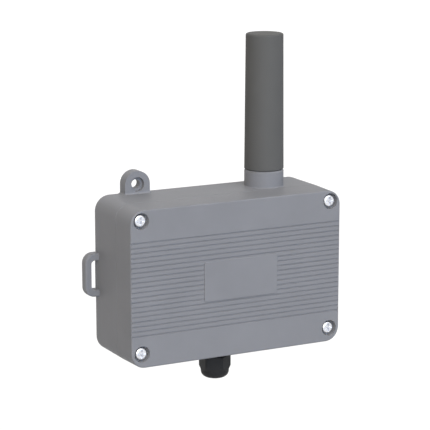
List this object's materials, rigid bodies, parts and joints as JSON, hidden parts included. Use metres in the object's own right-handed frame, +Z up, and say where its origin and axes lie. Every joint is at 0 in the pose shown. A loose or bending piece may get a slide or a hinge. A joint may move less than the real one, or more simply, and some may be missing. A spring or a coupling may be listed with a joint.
{
  "type": "wireless temperature sensor",
  "caption": "Wall-fixed wireless temperature sensor: grey plastic box with a grooved front cover, stub antenna on a collar, fixing ear, strap loops and a cable gland for a probe lead",
  "frame": {"origin": "Middle of the back face, on the plane of the wall", "axes": "+Z is up, towards the antenna; -Y points out of the grooved front; +X is to the right seen from the front"},
  "size_m": [0.136, 0.0428, 0.1793],
  "materials": {
    "housing_plastic": "fine matt grain",
    "radome_plastic": "matt",
    "gland_nylon": "satin",
    "seal_rubber": "matt",
    "zinc_steel": "bright zinc",
    "brass": "turned",
    "insulator": "satin",
    "lead_jacket": "satin",
    "board": "solder resist",
    "shield_tin": "tinned",
    "chip_black": "matt",
    "capacitor_sleeve": "shrink sleeve",
    "led_lens": "clear tinted",
    "cell_wrap": "printed wrap left plain",
    "terminal_green": "satin"
  },
  "bodies": {
    "housing": {"antenna_holder": "insulator", "antenna_lead": "lead_jacket", "antenna_radome": "radome_plastic", "antenna_rod": "brass", "antenna_seal": "seal_rubber", "base_housing": "housing_plastic", "battery_cell": "cell_wrap", "battery_contacts": "shield_tin", "battery_holder": "chip_black", "board_screws": "zinc_steel", "buffer_capacitor": "capacitor_sleeve", "button_housing": "chip_black", "circuit_board": "board", "coax_plug": "brass", "coax_socket": "brass", "cover_gasket": "seal_rubber", "cover_screws": "zinc_steel", "crystal": "shield_tin", "front_cover": "housing_plastic", "gland_body": "gland_nylon", "gland_flange_seal": "seal_rubber", "gland_lock_nut": "gland_nylon", "microcontroller": "chip_black", "radio_module": "board", "radio_shield": "shield_tin", "status_led": "led_lens", "temperature_chip": "chip_black", "terminal_block": "terminal_green", "terminal_screws": "zinc_steel", "threaded_inserts": "brass"},
    "gland_sleeve": {"gland_seal_insert": "seal_rubber"},
    "gland_cap": {"gland_nut": "gland_nylon"},
    "button": {"pairing_button": "chip_black"}
  },
  "joints": [
    {"name": "gland_seal_slide", "type": "slide", "parent": "housing", "child": "gland_sleeve", "axis": [0, 0, -1], "range_m": [0, 0.0045]},
    {"name": "gland_nut_turn", "type": "hinge", "parent": "gland_sleeve", "child": "gland_cap", "pos_m": [0.00045, -0.016, -0.053], "axis": [0, 0, -1], "range_deg": [0, 1080.1]},
    {"name": "pairing_button_press", "type": "slide", "parent": "housing", "child": "button", "axis": [0, 1, 0], "range_m": [0, 0.00025], "stiffness_N_per_m": 8000}
  ],
  "couplings": [
    {"joint": "gland_nut_turn", "follows": "gland_seal_slide", "rad_per_m": 4188.8}
  ]
}
